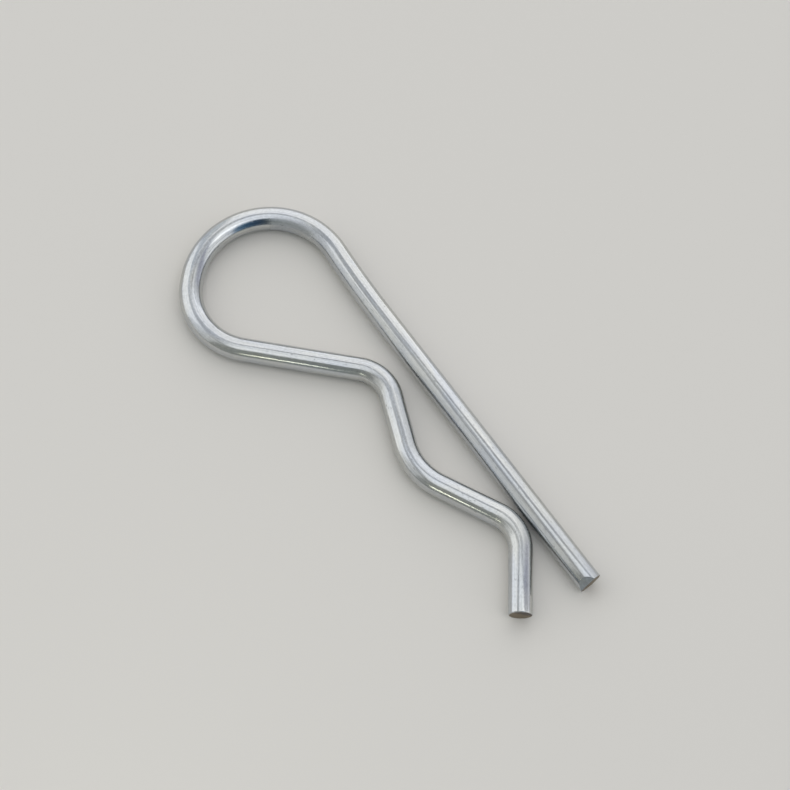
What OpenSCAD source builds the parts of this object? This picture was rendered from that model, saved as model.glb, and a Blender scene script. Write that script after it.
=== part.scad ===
/*
  Hitch R-clip: one length of round spring wire, bent flat in one plane.

  The straight leg goes through a cross hole in a shaft, and the bent leg springs
  over the outside of the shaft and grips it. The origin is the middle of that
  shaft, on the axis of the straight leg. +X runs along the straight leg towards
  the loop, +Y points to the bent leg, and z = 0 is the middle of the wire.
*/

/* [Wire] */
// Diameter of the wire
wire_d = 5; // [4:0.5:6]
// How much thinner the wire is where it is bent, in percent
bend_thinning = 1.2; // [0.8:0.1:2]
// Straight wire between the bends of the loop
feed = 1; // [0.6:0.2:3]

/* [Straight leg] */
// From the middle of the held shaft to the tip
leg_length = 41; // [25:0.5:60]
// Angle that the leg leans outward just before the loop
leg_lean = 4; // [2:0.5:6]
// Radius of that long, slight bend
lean_r = 250; // [150:10:300]

/* [Loop] */
// From the middle of the held shaft to the far side of the loop
loop_reach = 70; // [66:0.5:90]
// Inside diameter of the loop
loop_d = 28; // [26:0.5:30]
// Angle that the wire turns on the loop's own radius
loop_turn = 140; // [130:5:160]
// Inside radius of the heel, which closes the loop
heel_r = 11.5; // [10:0.5:12.5]

/* [Bent leg] */
// Diameter of the shaft that the clip holds
shaft_d = 23; // [20:0.5:25]
// Inside radius of the throat and the nose
bend_r = 6; // [4:0.5:8]
// From the middle of the held shaft to the throat, where the bent leg dips to the straight one
throat_x = 18.5; // [17:0.5:21]
// Gap between the throat and the straight leg
throat_gap = 3.5; // [1:0.5:5]
// From the middle of the held shaft to the nose, where the bent leg comes closest
nose_x = 22; // [20:0.5:24]
// Gap between the nose and the straight leg
nose_gap = 0.6; // [0.2:0.1:2]
// Angle between the straight leg and the tail
tail_angle = 37; // [25:1:45]
// Length of the straight tail
tail_length = 13.5; // [8:0.5:20]

/* [Cut ends] */
// Slope of the tip's end face
tip_slope = 5; // [0:1:20]
// Side where the tip is longest: 0 is towards the bent leg, 90 is up
tip_facing = 30; // [0:1:90]
// Depth of the flat on the tip's edge
flat_depth = 1; // [0.3:0.1:1.3]
// Slope of that flat to the wire
flat_slope = 30; // [15:1:40]
// Way that the flat faces: 0 is towards the bent leg, 90 is up
flat_facing = 56; // [0:1:90]
// Width of the broken edge round the tail's end
edge_break = 0.2; // [0.1:0.1:0.5]

/* [Hidden] */
$fn = 96;

wire_r = wire_d / 2;
// Each bend runs this far into the straight wire at both of its ends
lap = 0.2;
left = 1;
right = -1;

// The wire is wrapped on a row of round formers. A former is [centre, radius of the
// wire's centre line, turn], and a heading is the wire's direction in degrees.

// Point where the wire has a heading on a former
function on(former, heading) =
  former[0] + former[2] * former[1] * [sin(heading), -cos(heading)];

// Point a distance away along a heading
function ahead(point, heading, distance) =
  point + distance * [cos(heading), sin(heading)];

// Heading of the straight run from former a to former b
function run_heading(a, b) =
  let (d = b[0] - a[0])
  atan2(d[1], d[0]) - asin((b[2] * b[1] - a[2] * a[1]) / norm(d));

// The same heading, with whole turns added so that the wire only winds the former's way
function unwind(heading, from, turn) =
  heading + 360 * (turn > 0 ? ceil((from - heading) / 360) : floor((from - heading) / 360));

// Centre line radii
loop_r = loop_d / 2 + wire_r;
heel_line_r = heel_r + wire_r;
bend_line_r = bend_r + wire_r;
seat_r = shaft_d / 2 + wire_r;

// The lean and the loop are laid out from the start of the lean at [0, 0], and then
// moved so that the loop's far side is at loop_reach
lean_end = lean_r * [sin(leg_lean), cos(leg_lean) - 1];
loop_offset = ahead(lean_end, -leg_lean, feed) + loop_r * [sin(leg_lean), cos(leg_lean)];
lean_start = [loop_reach - wire_r - loop_r - loop_offset[0], 0];
loop = [lean_start + loop_offset, loop_r, left];
loop_end_heading = loop_turn - leg_lean;
heel_start = ahead(on(loop, loop_end_heading), loop_end_heading, feed);

formers = [
  [lean_start - [0, lean_r], lean_r, right],
  loop,
  [ahead(heel_start, loop_end_heading + 90, heel_line_r), heel_line_r, left],
  [[throat_x, wire_d + throat_gap + bend_line_r], bend_line_r, right],
  [[0, 0], seat_r, left],
  [[-nose_x, wire_d + nose_gap + bend_line_r], bend_line_r, right],
];
last = len(formers) - 1;

// Heading as the wire comes to former i, and past the last one that of the tail
function heading(i) =
  i == 0 ? 0 :
  let (way = i > last ? 180 - tail_angle : run_heading(formers[i - 1], formers[i]))
  unwind(way, heading(i - 1), formers[i - 1][2]);

headings = [for (i = [0 : last + 1]) heading(i)];
starts = [for (i = [0 : last]) on(formers[i], headings[i])];
ends = [for (i = [0 : last]) on(formers[i], headings[i + 1])];
// The wire starts out longer than the leg, and the tip is cut from it
stock_end = [-leg_length - wire_r, 0];
tail_end = ahead(ends[last], headings[last + 1], tail_length);

// Straight wire between two points, with a broken edge at its far end where one is asked for
module run(from, to, broken = 0) {
  way = to - from;
  length = norm(way);
  translate([from[0], from[1], 0])
    rotate([0, 0, atan2(way[1], way[0])])
      rotate([0, 90, 0])
        if (broken > 0)
          rotate_extrude()
            polygon([
              [0, 0],
              [wire_r, 0],
              [wire_r, length - broken],
              [wire_r - broken, length],
              [0, length],
            ]);
        else
          cylinder(r = wire_r, h = length);
}

// Wire bent round former i. It is a little thinner than the straight wire, so that its
// ends lie inside the runs that it joins.
module bend(i) {
  former = formers[i];
  grip = lap / former[1] * 180 / PI;
  first = min(headings[i], headings[i + 1]);
  turned = abs(headings[i + 1] - headings[i]);
  translate([former[0][0], former[0][1], 0])
    rotate_extrude(start = first - former[2] * 90 - grip, angle = turned + 2 * grip)
      translate([former[1], 0])
        circle(r = wire_r * (1 - bend_thinning / 100));
}

module wire() {
  run(stock_end, starts[0]);
  for (i = [0 : last - 1])
    run(ends[i], starts[i + 1]);
  run(ends[last], tail_end, edge_break);
  for (i = [0 : last])
    bend(i);
}

// Everything past the tip's end face, which slopes back from its longest side
module past_tip() {
  translate([-leg_length, 0, 0])
    rotate([tip_facing, 0, 0])
      translate([0, wire_r, 0])
        rotate([0, 0, tip_slope])
          translate([-2 * wire_d, -2 * wire_d, -wire_d])
            cube([2 * wire_d, 3 * wire_d, 2 * wire_d]);
}

// What the flat takes off the tip's edge
module past_flat() {
  translate([-leg_length, 0, 0])
    rotate([flat_facing, 0, 0])
      translate([0, wire_r - flat_depth, 0])
        rotate([0, 0, flat_slope])
          translate([-wire_d, 0, -wire_d])
            cube([3 * wire_d, wire_d, 2 * wire_d]);
}

module r_clip() {
  color("silver")
    difference() {
      wire();
      past_tip();
      past_flat();
    }
}

r_clip();
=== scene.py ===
import math
from collections import namedtuple

import bmesh
import bpy
from mathutils import Matrix, Vector


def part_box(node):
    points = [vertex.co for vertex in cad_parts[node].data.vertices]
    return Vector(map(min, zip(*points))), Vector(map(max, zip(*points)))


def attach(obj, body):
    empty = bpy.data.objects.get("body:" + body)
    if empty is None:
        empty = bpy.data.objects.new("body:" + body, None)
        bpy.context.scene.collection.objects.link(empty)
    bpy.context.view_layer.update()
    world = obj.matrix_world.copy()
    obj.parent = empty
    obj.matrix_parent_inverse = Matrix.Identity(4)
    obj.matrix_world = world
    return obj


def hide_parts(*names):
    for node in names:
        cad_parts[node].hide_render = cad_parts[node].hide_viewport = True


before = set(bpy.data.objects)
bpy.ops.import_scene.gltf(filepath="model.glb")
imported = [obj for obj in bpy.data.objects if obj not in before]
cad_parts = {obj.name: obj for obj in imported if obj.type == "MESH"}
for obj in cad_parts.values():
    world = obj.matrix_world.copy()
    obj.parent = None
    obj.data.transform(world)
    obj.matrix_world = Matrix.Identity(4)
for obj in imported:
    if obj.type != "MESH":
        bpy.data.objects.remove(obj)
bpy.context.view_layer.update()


# ---------------------------------------------------------------- the clip
# One length of hard drawn spring wire, plated with zinc. It is bent cold round six formers
# and sheared off at both ends, which show bare steel. A small flat is struck on the tip,
# so that it finds the cross hole of the shaft.

lowest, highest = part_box("r_clip")
wire_r = highest.z
loop_reach = highest.x

# Lengths are in metres, radii are those of the wire's centre line, and the origin is the
# middle of the held shaft, on the axis of the straight leg
leg_length = 0.041
lean_turn, lean_r = math.radians(4), 0.250
loop_turn, loop_r = math.radians(140), 0.028 / 2 + wire_r
heel_r = 0.0115 + wire_r
bend_r = 0.006 + wire_r
seat_r = 0.023 / 2 + wire_r
feed = 0.001
throat_x, throat_gap = 0.0185, 0.0035
nose_x, nose_gap = 0.022, 0.0006
tail_angle, tail_length = math.radians(37), 0.0135

edge_break = 0.0002
tip_edge = 0.00016
tip_slope, tip_facing = math.radians(5), math.radians(30)
flat_depth, flat_slope, flat_facing = 0.0010, math.radians(30), math.radians(56)
# The wire is drawn from this far past the tip, and the cuts stay within this length of it
spare_length, cut_length = wire_r, 3 * wire_r

LEFT, RIGHT = 1, -1
ZINC, SHEARED, STRUCK = 0, 1, 2
SIDES = 96
BEND_STEP = math.radians(2.5)
FEED_STEP = 0.002
EDGE_STEPS = 3
SHARP = math.radians(15)

Former = namedtuple("Former", "centre radius turn")


def ahead(point, heading, distance):
    return point + distance * Vector((math.cos(heading), math.sin(heading)))


def on_former(former, heading):
    """The point where the wire lies on a former as it runs in a heading."""
    side = Vector((math.sin(heading), -math.cos(heading)))
    return former.centre + former.turn * former.radius * side


def run_heading(a, b):
    """The heading of the straight run from former a to former b."""
    way = b.centre - a.centre
    aside = b.turn * b.radius - a.turn * a.radius
    return math.atan2(way.y, way.x) - math.asin(aside / way.length)


def lay_out_formers():
    """The six formers: the lean, the loop, the heel, the throat, the seat and the nose."""
    lean_end = lean_r * Vector((math.sin(lean_turn), math.cos(lean_turn) - 1))
    loop_offset = ahead(lean_end, -lean_turn, feed)
    loop_offset += loop_r * Vector((math.sin(lean_turn), math.cos(lean_turn)))
    lean_start = Vector((loop_reach - wire_r - loop_r - loop_offset.x, 0))
    loop = Former(lean_start + loop_offset, loop_r, LEFT)
    leaving = loop_turn - lean_turn
    heel_start = ahead(on_former(loop, leaving), leaving, feed)
    return [
        Former(lean_start - Vector((0, lean_r)), lean_r, RIGHT),
        loop,
        Former(ahead(heel_start, leaving + math.pi / 2, heel_r), heel_r, LEFT),
        Former(Vector((throat_x, 2 * wire_r + throat_gap + bend_r)), bend_r, RIGHT),
        Former(Vector((0, 0)), seat_r, LEFT),
        Former(Vector((-nose_x, 2 * wire_r + nose_gap + bend_r)), bend_r, RIGHT),
    ]


def turn_headings(formers):
    """The heading as the wire comes to each former, and last that of the tail."""
    runs = [run_heading(a, b) for a, b in zip(formers, formers[1:])]
    headings = [0.0]
    for former, heading in zip(formers, runs + [math.pi - tail_angle]):
        turned = former.turn * (heading - headings[-1]) % math.tau
        headings.append(headings[-1] + former.turn * turned)
    return headings


def draw_on(bm, ring, move, length, bend=0.0):
    """Extrudes the ring by a move, which is this long on the wire and bends it this hard."""
    way_layer = bm.verts.layers.float_vector["wire_way"]
    bend_layer = bm.verts.layers.float["bend"]
    made = bmesh.ops.extrude_edge_only(bm, edges=ring)["geom"]
    verts = [g for g in made if isinstance(g, bmesh.types.BMVert)]
    new = set(verts)
    bmesh.ops.transform(bm, matrix=move, verts=verts)
    for v in verts:
        v[way_layer] = v[way_layer] + Vector((length, 0, 0))
        v[bend_layer] = bend
    return [g for g in made if isinstance(g, bmesh.types.BMEdge) and set(g.verts) <= new]


def feed_on(bm, ring, start, end):
    run = end - start
    return draw_on(bm, ring, Matrix.Translation(run.to_3d()), run.length)


def bend_on(bm, ring, former, turned):
    length = abs(turned) * former.radius
    steps = math.ceil(max(abs(turned) / BEND_STEP, length / FEED_STEP))
    about = Matrix.Translation(former.centre.to_3d())
    move = about @ Matrix.Rotation(turned / steps, 4, "Z") @ about.inverted()
    for _ in range(steps):
        ring = draw_on(bm, ring, move, length / steps, former.turn / former.radius)
    return ring


def break_edge(bm, ring, end, heading):
    """Rounds the edge of the tail, ring by ring, and closes its face."""
    there = Matrix.Translation(end.to_3d()) @ Matrix.Rotation(heading, 4, "Z")
    reach, width = 0.0, 1.0
    for i in range(EDGE_STEPS):
        angle = (i + 1) / EDGE_STEPS * math.pi / 2
        next_reach = edge_break * math.sin(angle)
        next_width = 1 - edge_break / wire_r * (1 - math.cos(angle))
        move = (
            there
            @ Matrix.Translation((next_reach, 0, 0))
            @ Matrix.Diagonal((1, next_width / width, next_width / width, 1))
            @ Matrix.Translation((-reach, 0, 0))
            @ there.inverted()
        )
        ring = draw_on(bm, ring, move, next_reach - reach)
        reach, width = next_reach, next_width
    return bmesh.ops.contextual_create(bm, geom=ring)["faces"]


def sloped(along, out, outward):
    """A direction made of a share along the wire and a share outward from it."""
    return Vector((along, 0, 0)) + out * outward


def shear_tip(bm):
    """Cuts the tip at a slope, and then its longest edge away as a small slanted flat."""
    longest = Vector((0, math.cos(tip_facing), math.sin(tip_facing)))
    outward = Vector((0, math.cos(flat_facing), math.sin(flat_facing)))
    tip = Vector((-leg_length, 0, 0))
    slope_way = sloped(-math.cos(tip_slope), -math.sin(tip_slope), longest)
    flat_way = sloped(-math.sin(flat_slope), math.cos(flat_slope), outward)
    cuts = [
        (tip + wire_r * longest, slope_way, SHEARED),
        (tip + (wire_r - flat_depth) * outward, flat_way, STRUCK),
    ]
    for point, normal, finish in cuts:
        cut = bmesh.ops.bisect_plane(
            bm,
            geom=bm.verts[:] + bm.edges[:] + bm.faces[:],
            dist=1e-7,
            plane_co=point,
            plane_no=normal,
            clear_outer=True,
        )["geom_cut"]
        rim = [g for g in cut if isinstance(g, bmesh.types.BMEdge)]
        for face in bmesh.ops.contextual_create(bm, geom=rim)["faces"]:
            face.material_index = finish
    bmesh.ops.bevel(
        bm,
        geom=[e for e in bm.edges if e.calc_face_angle(0) > SHARP],
        offset=tip_edge,
        offset_type="OFFSET",
        affect="EDGES",
        segments=EDGE_STEPS,
        profile=0.5,
        clamp_overlap=True,
        material=ZINC,
    )


def draw_wire():
    """Draws a ring of the wire along its runs and round its bends.

    The vertex layer wire_way keeps each point's place on the wire before it was bent:
    the length from the origin, and the two coordinates in the section. The layer bend keeps
    how hard it was bent there: 1 over the radius in metres, and less than 0 to the right."""
    bm = bmesh.new()
    bm.verts.layers.float_vector.new("wire_way")
    bm.verts.layers.float.new("bend")
    stock_end = Vector((-leg_length - spare_length, 0))
    here = Vector((cut_length - leg_length, 0))
    section = Matrix.Translation(stock_end.to_3d()) @ Matrix.Rotation(math.pi / 2, 4, "Y")
    bmesh.ops.create_circle(bm, cap_ends=True, radius=wire_r, segments=SIDES, matrix=section)
    ring = feed_on(bm, list(bm.edges), stock_end, here)
    shear_tip(bm)
    way_layer = bm.verts.layers.float_vector["wire_way"]
    for v in bm.verts:
        v[way_layer] = v.co

    formers = lay_out_formers()
    headings = turn_headings(formers)
    for former, coming, leaving in zip(formers, headings, headings[1:]):
        ring = feed_on(bm, ring, here, on_former(former, coming))
        ring = bend_on(bm, ring, former, leaving - coming)
        here = on_former(former, leaving)
    end = ahead(here, headings[-1], tail_length - edge_break)
    ring = feed_on(bm, ring, here, end)
    for face in break_edge(bm, ring, end, headings[-1]):
        face.material_index = SHEARED
    return bm


def make_piece(name, bm):
    mesh = bpy.data.meshes.new(name)
    bm.to_mesh(mesh)
    bm.free()
    piece = bpy.data.objects.new(name, mesh)
    bpy.context.scene.collection.objects.link(piece)
    return piece


bm = draw_wire()
bmesh.ops.recalc_face_normals(bm, faces=bm.faces)
for face in bm.faces:
    # The wire's own faces have four sides, and the cut ones many
    face.smooth = len(face.verts) <= 4
clip = make_piece("r_clip_wire", bm)


class Socket:
    """A node's output, with arithmetic that adds Math nodes."""

    def __init__(self, tree, socket):
        self.tree = tree
        self.socket = socket

    def maths(self, operation, *others):
        return self.tree.node("ShaderNodeMath", {"operation": operation}, [self, *others])

    def __add__(self, other):
        return self.maths("ADD", other)

    def __mul__(self, other):
        return self.maths("MULTIPLY", other)

    __radd__ = __add__
    __rmul__ = __mul__

    def __sub__(self, other):
        return self.maths("SUBTRACT", other)

    def __rsub__(self, other):
        return self.tree.node("ShaderNodeMath", {"operation": "SUBTRACT"}, [other, self])


class Nodes:
    """A material's or a world's nodes, made one at a time."""

    def __init__(self, owner):
        owner.use_nodes = True
        self.nodes = owner.node_tree.nodes
        self.links = owner.node_tree.links
        self.nodes.clear()

    def node(self, kind, settings=None, inputs=(), output=0):
        made = self.nodes.new(kind)
        for name, value in (settings or {}).items():
            if name == "stops":
                ramp = made.color_ramp
                while len(ramp.elements) < len(value):
                    ramp.elements.new(1)
                for element, (position, colour) in zip(ramp.elements, value):
                    element.position = position
                    element.color = (*colour, 1)
            else:
                setattr(made, name, value)
        pairs = inputs.items() if isinstance(inputs, dict) else enumerate(inputs)
        for key, value in pairs:
            if isinstance(value, Socket):
                self.links.new(value.socket, made.inputs[key])
            else:
                made.inputs[key].default_value = value
        return Socket(self, made.outputs[output]) if made.outputs else made


def grain(way, length, width, detail, seed):
    """Noise with grains of this length along the wire and this width across it."""
    tree = way.tree
    grains = (1 / length, 1 / width, 1 / width)
    place = tree.node("ShaderNodeVectorMath", {"operation": "MULTIPLY"}, [way, grains])
    inputs = {"Vector": place, "W": seed, "Scale": 1.0, "Detail": detail, "Roughness": 0.6}
    return tree.node("ShaderNodeTexNoise", {"noise_dimensions": "4D"}, inputs)


def share_along(way, direction):
    """How far a place or a direction reaches along another direction."""
    inputs = [way, direction]
    return way.tree.node("ShaderNodeVectorMath", {"operation": "DOT_PRODUCT"}, inputs, "Value")


def step(value, start, end):
    """Rises from 0 to 1 as the value goes from start to end."""
    return value.tree.node("ShaderNodeMapRange", {}, [value, start, end])


def blend(share, a, b):
    """Colour a where the share is 0, and colour b where it is 1."""
    return share.tree.node("ShaderNodeMix", {"data_type": "RGBA"}, {0: share, 6: a, 7: b}, 2)


def metal(colour, shade, roughness, height, depth):
    """A metal surface of this colour times the shade, with a relief up to this depth."""
    tree = colour.tree
    lit = tree.node("ShaderNodeVectorMath", {"operation": "SCALE"}, {0: colour, 3: shade})
    relief = {"Strength": 1.0, "Distance": depth, "Height": height}
    normal = tree.node("ShaderNodeBump", {}, relief)
    inputs = {"Base Color": lit, "Metallic": 1.0, "Roughness": roughness, "Normal": normal}
    surface = tree.node("ShaderNodeBsdfPrincipled", {}, inputs)
    tree.node("ShaderNodeOutputMaterial", {}, {"Surface": surface})


def plate_with_zinc(name, dullness):
    """Zinc over the drawn wire: bright, with the lines of the die, marks and a light haze."""
    zinc = bpy.data.materials.new(name)
    tree = Nodes(zinc)
    way = tree.node("ShaderNodeAttribute", {"attribute_name": "wire_way"}, output="Vector")
    bend = tree.node("ShaderNodeAttribute", {"attribute_name": "bend"}, output="Fac")
    along = tree.node("ShaderNodeSeparateXYZ", {}, [way], "X")
    beside = tree.node("ShaderNodeSeparateXYZ", {}, [way], "Y")

    # The formers press the inside of each bend, scuff the tight ones all round, and rub
    # the inside of the loop dull over the stretch where the wire first meets it
    inside = bend * beside
    pressed = step(inside, 0.05, 0.22)
    scuffed = step(bend.maths("ABSOLUTE"), 40, 120)
    first_meets = step(along, 0.054, 0.059) * step(along, 0.0675, 0.0655)
    rubbed = first_meets * step(inside, 0.02, 0.07)

    die_lines = grain(way, 0.030, 0.00020, detail=3, seed=1)
    broad_lines = grain(way, 0.060, 0.0009, detail=2, seed=2)
    clouds = grain(way, 0.0035, 0.0014, detail=4, seed=3)
    frosting = grain(way, 0.0007, 0.0004, detail=3, seed=4)
    tints = grain(way, 0.012, 0.0030, detail=2, seed=5)
    marks = step(grain(way, 0.0010, 0.00026, detail=1, seed=6), 0.66, 0.72)
    scratches = step(grain(way, 0.012, 0.00016, detail=1, seed=7), 0.68, 0.78)

    bluish, warm = (0.54, 0.565, 0.595, 1), (0.595, 0.605, 0.59, 1)
    colour = blend(step(tints, 0.38, 0.62), bluish, warm)
    shade = 0.92 + 0.10 * step(broad_lines, 0.35, 0.65) + 0.40 * (frosting - 0.5)
    shade = shade + 0.16 * (clouds - 0.5) + 0.55 * (die_lines - 0.5)
    shade = shade - 0.30 * marks - 0.16 * scratches - 0.05 * pressed
    roughness = 0.07 + 0.07 * step(clouds, 0.35, 0.7) + 0.14 * (die_lines - 0.4)
    roughness = roughness + 0.14 * marks + 0.12 * scratches + 0.07 * pressed + 0.04 * frosting
    roughness = roughness + 0.26 * rubbed + 0.07 * scuffed + dullness
    height = 0.42 * die_lines + 0.25 * broad_lines + 0.45 * clouds + 0.50 * frosting
    height = height - 0.35 * marks - 0.25 * scratches
    metal(colour, shade, roughness, height, depth=0.000012)
    return zinc


def shear_steel():
    """A sheared face: burnished where the blade came in, and torn the rest of the way. Its
    colour holds painted shade and painted light: darker brown towards the top and lighter tan
    below.
    """
    steel = bpy.data.materials.new("sheared_steel")
    tree = Nodes(steel)
    way = tree.node("ShaderNodeAttribute", {"attribute_name": "wire_way"}, output="Vector")
    down = share_along(way, (0, -0.45, -0.9))
    beside = share_along(way, (0, 0.9, -0.45))
    cut_way = tree.node("ShaderNodeCombineXYZ", {}, [down, beside])
    shear_lines = grain(cut_way, 0.0030, 0.00022, detail=2, seed=8)
    pits = grain(way, 0.0006, 0.00040, detail=3, seed=9)

    ragged = 0.0022 * (shear_lines - 0.5) + 0.0012 * (pits - 0.5)
    # The torn share rises towards the bottom of the face. Its colour there is painted lighter
    # as painted light, and the burnished top is painted darker as painted shade. The two
    # zones' roughness and relief are the steel's own.
    torn_lit_share = step(down + ragged, -0.0012, -0.0003)
    burnished_shaded_brown, torn_lit_brown = (0.055, 0.037, 0.030, 1), (0.27, 0.225, 0.165, 1)
    colour = blend(torn_lit_share, burnished_shaded_brown, torn_lit_brown)
    shade = 0.45 + 0.6 * shear_lines + 0.5 * pits
    roughness = 0.30 + 0.22 * torn_lit_share + 0.15 * (shear_lines - 0.5)
    height = 0.7 * shear_lines + 0.9 * torn_lit_share * pits
    metal(colour, shade, roughness, height, depth=0.00006)
    return steel


# In the order of ZINC, SHEARED and STRUCK
clip.data.materials.append(plate_with_zinc("zinc_plated_steel", dullness=0))
clip.data.materials.append(shear_steel())
clip.data.materials.append(plate_with_zinc("zinc_on_the_struck_flat", dullness=0.32))

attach(clip, "root")
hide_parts("r_clip")


# ---------------------------------------------------------------- the table
# A plain pale table top that the clip lies flat on.

bm = bmesh.new()
bmesh.ops.create_grid(bm, x_segments=1, y_segments=1, size=3)
bmesh.ops.translate(bm, verts=bm.verts, vec=(0, 0, lowest.z))
table = make_piece("table_top", bm)

paint = bpy.data.materials.new("matt_white")
tree = Nodes(paint)
surface = tree.node("ShaderNodeBsdfDiffuse", {}, {"Color": (0.74, 0.715, 0.67, 1)})
tree.node("ShaderNodeOutputMaterial", {}, {"Surface": surface})
table.data.materials.append(paint)


# ---------------------------------------------------------------- the camera
# It looks steeply down on the clip, with the loop at the upper left.

VIEW_TURN = math.radians(125.522)
RIGHTWARD = Vector((math.cos(VIEW_TURN), -math.sin(VIEW_TURN), 0))
AWAY = Vector((math.sin(VIEW_TURN), math.cos(VIEW_TURN), 0))
UP = Vector((0, 0, 1))

camera_rise = math.radians(68)
camera_distance = 0.4246
camera_target = -0.01562 * RIGHTWARD + 0.00764 * AWAY
toward_camera = -math.cos(camera_rise) * AWAY + math.sin(camera_rise) * UP

camera_data = bpy.data.cameras.new("camera")
camera_data.sensor_width = 36
camera_data.lens = 92.82
camera = bpy.data.objects.new("camera", camera_data)
camera.location = camera_target + camera_distance * toward_camera
camera.rotation_euler = toward_camera.to_track_quat("Z", "Y").to_euler()
bpy.context.scene.collection.objects.link(camera)
bpy.context.scene.camera = camera


# ---------------------------------------------------------------- the lights
# Softboxes stand round the table and hang over it, as in a light tent, with narrow gaps
# between them. One small lamp close by gives the wire its thin glints.

VIEW = Matrix((RIGHTWARD, AWAY, UP)).transposed().to_4x4()
WHITE = (1.0, 1.0, 1.0)


def softbox(name, place, bearing, incline, size, level, colour=WHITE):
    """A lit panel. Its place is to the right, away and up. Its bearing is the side of the
    table that it lights from, in degrees from the right towards the back. Its incline is
    0 where it faces down and 90 where it stands upright."""
    light = bpy.data.lights.new(name, "AREA")
    light.shape = "RECTANGLE"
    light.size, light.size_y = size
    light.energy = level * math.pi * light.size * light.size_y
    light.color = colour
    panel = bpy.data.objects.new(name, light)
    panel.matrix_world = (
        VIEW
        @ Matrix.Translation(place)
        @ Matrix.Rotation(math.radians(bearing - 90), 4, "Z")
        @ Matrix.Rotation(math.radians(-incline), 4, "X")
    )
    panel.visible_camera = False
    bpy.context.scene.collection.objects.link(panel)


softbox("ceiling", (0.20, -0.23, 1.20), 66, 0, (1.25, 0.87), 0.58)
softbox("ceiling_lamp", (0.52, -0.31, 1.25), 66, 0, (0.66, 0.60), 0.25)
softbox("back", (0.175, 1.00, 0.97), 90, 90, (1.15, 1.86), 0.66)
softbox("back_left", (-0.946, 0.434, 0.895), 154, 90, (1.00, 1.69), 0.58, (1.0, 1.0, 0.99))
softbox("left", (-0.50, -0.145, 0.395), 180, 90, (0.29, 0.69), 0.36)
softbox("low_right", (1.47, -0.31, 0.42), 348, 90, (2.00, 0.55), 0.22)
softbox("lamp", (-0.084, -0.114, 0.062), 237, 65, (0.025, 0.011), 3.9, (1.0, 1.0, 0.80))

# The tent's wall behind the softboxes, as a colour at each share of the way round
GAP = (0.60, 0.60, 0.61)
CORNER = (0.46, 0.47, 0.54)
OVERHEAD = (0.555, 0.575, 0.60, 1)
WALL = [
    # from the left to the front
    (0.010, (0.52, 0.53, 0.53)),
    (0.036, (0.42, 0.43, 0.43)),
    (0.062, (0.34, 0.35, 0.35)),
    (0.130, (0.33, 0.34, 0.32)),
    (0.235, (0.29, 0.31, 0.29)),
    # from the front to the right, open to the dim room and then lit
    (0.252, (0.04, 0.06, 0.08)),
    (0.295, (0.04, 0.08, 0.14)),
    (0.335, (0.08, 0.16, 0.26)),
    (0.362, (0.18, 0.28, 0.40)),
    (0.382, (0.90, 0.92, 0.95)),
    (0.420, (0.93, 0.94, 0.95)),
    (0.470, (1.00, 1.01, 1.00)),
    (0.498, (0.90, 0.91, 0.91)),
    # from the right to the back
    (0.508, (0.62, 0.63, 0.68)),
    (0.516, CORNER),
    (0.556, CORNER),
    (0.576, (0.70, 0.71, 0.74)),
    (0.612, (0.93, 0.94, 0.96)),
    (0.642, (1.10, 1.11, 1.12)),
    (0.654, GAP),
    # from the back to the left
    (0.800, GAP),
    (0.815, (0.66, 0.71, 0.77)),
    (0.855, (0.64, 0.67, 0.71)),
    (0.870, (0.62, 0.63, 0.64)),
]

world = bpy.data.worlds.new("tent")
bpy.context.scene.world = world
tree = Nodes(world)
way = tree.node("ShaderNodeTexCoord", output="Generated")
bearing = share_along(way, AWAY).maths("ARCTAN2", share_along(way, RIGHTWARD))
wall = tree.node("ShaderNodeValToRGB", {"stops": WALL}, [bearing * (1 / math.tau) + 0.5])
tent = blend(step(share_along(way, UP), 0.86, 0.95), wall, OVERHEAD)
glow = tree.node("ShaderNodeBackground", {}, {"Color": tent, "Strength": 1.0})
tree.node("ShaderNodeOutputWorld", {}, {"Surface": glow})

bpy.context.scene.view_settings.view_transform = "Standard"
